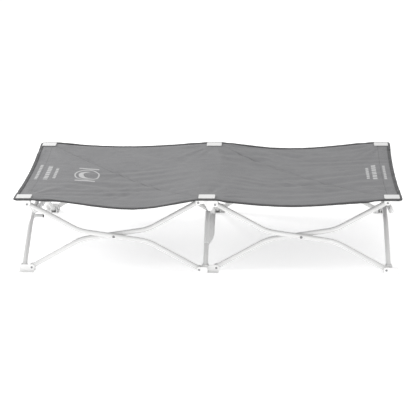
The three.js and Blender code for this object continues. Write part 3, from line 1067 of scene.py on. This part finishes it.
def stitch_points(edge):
    """The eight corners of each stitch, a small bar, on top and underneath."""
    places = np.array([p for p, _ in edge], float)
    inwards = np.array([n for _, n in edge], float)
    reached = np.concatenate([[0], np.cumsum(np.linalg.norm(np.diff(places, axis=0), axis=1))])
    middles = (np.arange(int(reached[-1] / STITCH_PITCH)) + 0.5) * STITCH_PITCH
    corners = [
        (middle + end * STITCH_LENGTH / 2, STITCH_IN + deep, side * high)
        for middle in middles
        for side in (1, -1)
        for end in (-1, 1)
        for deep in (0, STITCH_WIDTH)
        for high in STITCH_HEIGHTS
    ]
    far, deep, high = np.array(corners).T
    at = np.stack([np.interp(far, reached, places[:, k]) for k in (0, 1)], -1)
    towards = np.stack([np.interp(far, reached, inwards[:, k]) for k in (0, 1)], -1)
    return on_sheet(at, towards, deep, high)


def binding_piece(name, edge):
    """The folded tape along one stretch of edge, with its stitches."""
    tape, tape_flat = tape_points(edge)
    thread_points, thread_flat = stitch_points(edge)
    faces = grid_faces(len(edge), len(BINDING_SECTION), True)
    tape_faces = len(faces)
    for base in range(len(tape), len(tape) + len(thread_points), 8):
        faces += [tuple(base + k for k in f) for f in STITCH_FACES]
    points = np.vstack([tape, thread_points])
    made = mesh_object(name, points, faces, "dark_binding", extra=[THREAD])
    flat = np.vstack([tape_flat, thread_flat])
    carry_flat(made.data, flat[:, 0], flat[:, 1])
    for polygon in made.data.polygons[tape_faces:]:
        polygon.material_index = 1
    recalculate(made.data)
    return made


def recalculate(mesh):
    """Turns every face outwards."""
    work = bmesh.new()
    work.from_mesh(mesh)
    bmesh.ops.recalc_face_normals(work, faces=work.faces)
    work.to_mesh(mesh)
    work.free()


# ---- sheet assembly
def crumple(piece, axis, anchor):
    """Gives a piece its own copy of its mesh."""
    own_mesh(piece)
    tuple(axis)
    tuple(anchor)


def add_bay(bay, sign):
    """The four panels of a bay and the hems in front of and behind them."""
    near, far = sign * BAND, sign * OUTER
    low, high = sorted((near, far))
    hems = {}
    for row, side in (("front", -1), ("back", 1)):
        v0, v1 = sorted((side * INNER_Y, side * HALF_W))
        hem = rectangle_piece(f"sheet_hem_{row}_{bay}", low, high, v0, v1)
        edge = straight_edge((near, side * HALF_W), (far, side * HALF_W), (0, -side))
        tape = binding_piece(f"binding_{row}_{bay}", edge)
        for each in (hem, tape):
            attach(each, f"hub_{row}_mid")
            crumple(each, (1, 0, 0), (near, 0, 0))
        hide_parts(f"cloth_hem_{row}_{bay}")
        hems[row] = hem
    for panel, piece in bay_panels(bay, sign):
        body = f"cloth_{bay}_{panel}"
        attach(piece, body)
        if panel in hems:
            crumple(piece, (1, 0, 0), (near, 0, 0))
        else:
            crumple(piece, (0, 1, 0), (0, -INNER_Y, 0))
        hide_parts(body)


def add_end(station, sign):
    """The strip at one end: a patch on each corner hub and a strip between them."""
    node_name = f"cloth_end_{station}"
    low, high = sorted((sign * OUTER, sign * HALF_L))
    strip = rectangle_piece(f"sheet_end_{station}", low, high, -INNER_Y, INNER_Y)
    edge = straight_edge((sign * HALF_L, -INNER_Y), (sign * HALF_L, INNER_Y), (-sign, 0))
    tape = binding_piece(f"binding_end_{station}", edge)
    for each in (strip, tape):
        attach(each, f"hub_front_{station}")
        crumple(each, (0, 1, 0), (0, -INNER_Y, 0))
    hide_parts(node_name)
    for row, side in (("front", -1), ("back", 1)):
        v0, v1 = sorted((side * INNER_Y, side * HALF_W))
        patch = rectangle_piece(f"sheet_corner_{row}_{station}", low, high, v0, v1)
        tape = binding_piece(f"binding_corner_{row}_{station}", corner_edge(sign, side))
        for each in (patch, tape):
            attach(each, f"hub_{row}_{station}")


def add_band():
    """The band between the bays: a patch on each middle hub and a strip between them."""
    strip = rectangle_piece("sheet_band", -BAND, BAND, -INNER_Y, INNER_Y)
    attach(strip, "hub_front_mid")
    crumple(strip, (0, 1, 0), (0, -INNER_Y, 0))
    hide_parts("cloth_band_mid")
    for row, side in (("front", -1), ("back", 1)):
        v0, v1 = sorted((side * INNER_Y, side * HALF_W))
        patch = rectangle_piece(f"sheet_middle_{row}", -BAND, BAND, v0, v1)
        edge = straight_edge((-BAND, side * HALF_W), (BAND, side * HALF_W), (0, -side))
        tape = binding_piece(f"binding_middle_{row}", edge)
        for each in (patch, tape):
            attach(each, f"hub_{row}_mid")


# ---- peg and label
PEG_SIDES = 32
LABEL_GAP = 0.00035  # from the tube to the label's sleeve
LABEL_T = 0.0003
LABEL_TURNS = 24
LABEL_OPEN = 8  # degrees from the flag to each end of the sleeve
LABEL_STEP = 0.004
LABEL_TAPER = 0.045  # length over which the flag widens from its lower end


def add_peg():
    """The storage peg with a bead at the tube, and the dark plug in its end."""
    low, high = box_corners("storage_peg")
    middle = (low + high) / 2
    radius = (high.z - low.z) / 2
    length = high.x - low.x
    start = Vector((low.x, middle.y, middle.z))
    bead = [(radius + 0.0005, -0.0052), (radius + 0.0019, -0.002), (radius + 0.0011, 0.0004)]
    body = [(radius, 0.0018), (radius, length - 0.0004), (radius - 0.0004, length)]
    points, faces = lathe(bead + body, PEG_SIDES, start, (1, 0, 0))
    stand_for(mesh_object("look_storage_peg", points, faces, "white_tube"), "storage_peg")
    low, high = box_corners("peg_plug")
    thick = high.x - low.x
    start = Vector((low.x, middle.y, middle.z))
    stem = [(radius - 0.001, -0.003), (radius - 0.001, 0)]
    side = [(radius, 0.0003), (radius, thick * 0.5)]
    top = [(radius * 0.93, thick * 0.85), (radius * 0.7, thick), (0.001, thick * 1.05)]
    points, faces = lathe(stem + side + top, PEG_SIDES, start, (1, 0, 0))
    stand_for(mesh_object("look_peg_plug", points, faces, "dark_plug"), "peg_plug")


def label_section(width):
    """A sleeve round the tube whose two ends lie together as a flag on its right."""
    sleeve = TUBE_R + LABEL_GAP
    outer = []
    for k in range(LABEL_TURNS + 1):
        turn = math.radians(LABEL_OPEN + k * (360 - 2 * LABEL_OPEN) / LABEL_TURNS)
        outer.append((sleeve * math.cos(turn), sleeve * math.sin(turn)))
    flag = max(width, 0.0005)
    apart = LABEL_T * 1.2
    upper = [(sleeve + flag, apart), (sleeve + flag * 0.5, apart)]
    lower = [(sleeve + flag * 0.5, -apart), (sleeve + flag, -apart)]
    return upper + outer + lower


def add_label():
    """A blank label round the middle cross tube."""
    low, high = box_corners("care_label")
    full = high.x - low.x
    points, frames = placed_line("tube_cross_mid_rising", LINE)
    dense, turned = densify(points, frames, LABEL_STEP)
    chosen = [(p, f) for p, f in zip(dense, turned) if low.y <= p.y <= high.y]
    chosen.sort(key=lambda pair: pair[0].y)
    rows, count = [], 0
    for p, (side, up) in chosen:
        from_low_end = (p.y - low.y) / LABEL_TAPER
        width = full * math.sin(math.pi / 2 * min(1, max(from_low_end, 0.02)))
        across = side if side.x > 0 else -side
        section = label_section(width)
        count = len(section)
        rows += [p + across * s + up * t for s, t in section]
    faces = grid_faces(len(chosen), count)
    made = mesh_object("look_care_label", rows, faces, "label_vinyl")
    thick = made.modifiers.new("thickness", "SOLIDIFY")
    thick.thickness = LABEL_T
    stand_for(made, "care_label")


def densify(points, frames, step):
    """The same line with points close together."""
    new_points, new_frames = [], []
    for k in range(len(points) - 1):
        gap = (points[k + 1] - points[k]).length
        count = max(1, round(gap / step))
        for n in range(count):
            t = n / count
            new_points.append(points[k].lerp(points[k + 1], t))
            side = frames[k][0].lerp(frames[k + 1][0], t).normalized()
            up = frames[k][1].lerp(frames[k + 1][1], t).normalized()
            new_frames.append((side, up))
    return new_points, new_frames


# ---- stage
FLOOR_HALF = 30.0
# Name, place, what it points at, diameter and power in watts
LIGHTS = [
    ("key", (-2.0, 1.6, 1.35), (0, 0, 0.2), 0.9, 27),
    ("top", (0, -0.4, 3.0), (0, 0, 0.2), 2.4, 20),
    ("front", (0.6, -3.4, 0.9), (0, 0, 0.15), 2.2, 32),
    ("low_fill", (-2.6, -1.2, 0.5), (0, 0, 0.1), 1.2, 9),
]
WORLD_LIGHT = 0.62
CAMERA_AT = (0.2326, -4.6775, 1.7942)
CAMERA_PITCH = math.radians(19.73)
CAMERA_YAW = math.radians(2.985)
CAMERA_ROLL = math.radians(-0.92)
CAMERA_LENS = 128.6


def add_floor():
    corners = [(-1, -1), (1, -1), (1, 1), (-1, 1)]
    points = [(x * FLOOR_HALF, y * FLOOR_HALF, 0) for x, y in corners]
    mesh = bpy.data.meshes.new("floor")
    mesh.from_pydata(points, [], [(0, 1, 2, 3)])
    mesh.materials.append(pale_floor())
    add_object("floor", mesh)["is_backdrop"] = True


def add_area(name, place, target, size, power):
    light = bpy.data.lights.new(name, "AREA")
    light.shape = "DISK"
    light.size = size
    light.energy = power
    made = add_object(name, light)
    made.location = place
    heading = Vector(target) - Vector(place)
    made.rotation_euler = heading.to_track_quat("-Z", "Y").to_euler()


def add_light():
    world = bpy.data.worlds.new("studio")
    world.use_nodes = True
    background = world.node_tree.nodes["Background"]
    background.inputs["Color"].default_value = (1, 1, 1, 1)
    background.inputs["Strength"].default_value = WORLD_LIGHT
    bpy.context.scene.world = world
    for light in LIGHTS:
        add_area(*light)
    bpy.context.scene.view_settings.view_transform = "Standard"


def add_camera():
    data = bpy.data.cameras.new("camera")
    data.lens = CAMERA_LENS
    data.clip_end = 100
    camera = add_object("camera", data)
    turn = Matrix.Rotation(CAMERA_YAW, 4, "Z")
    tilt = Matrix.Rotation(math.pi / 2 - CAMERA_PITCH, 4, "X")
    roll = Matrix.Rotation(CAMERA_ROLL, 4, "Z")
    camera.matrix_world = Matrix.Translation(CAMERA_AT) @ turn @ tilt @ roll
    bpy.context.scene.camera = camera


add_camera()
add_light()
add_floor()
for each in nodes_named("tube_"):
    tube_mesh(each)
for each in nodes_named("rivet_"):
    rivet_mesh(each)
pin_heads()
for each in nodes_named("hub_", "foot_", "cap_"):
    dress_moulded(each)
add_bay("left", -1)
add_bay("right", 1)
add_end("left", -1)
add_end("right", 1)
add_band()
add_peg()
add_label()

boxes = {"cad": cad_bounds, "visual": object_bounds()}
{k: [list(corner) for corner in b] for k, b in boxes.items()}
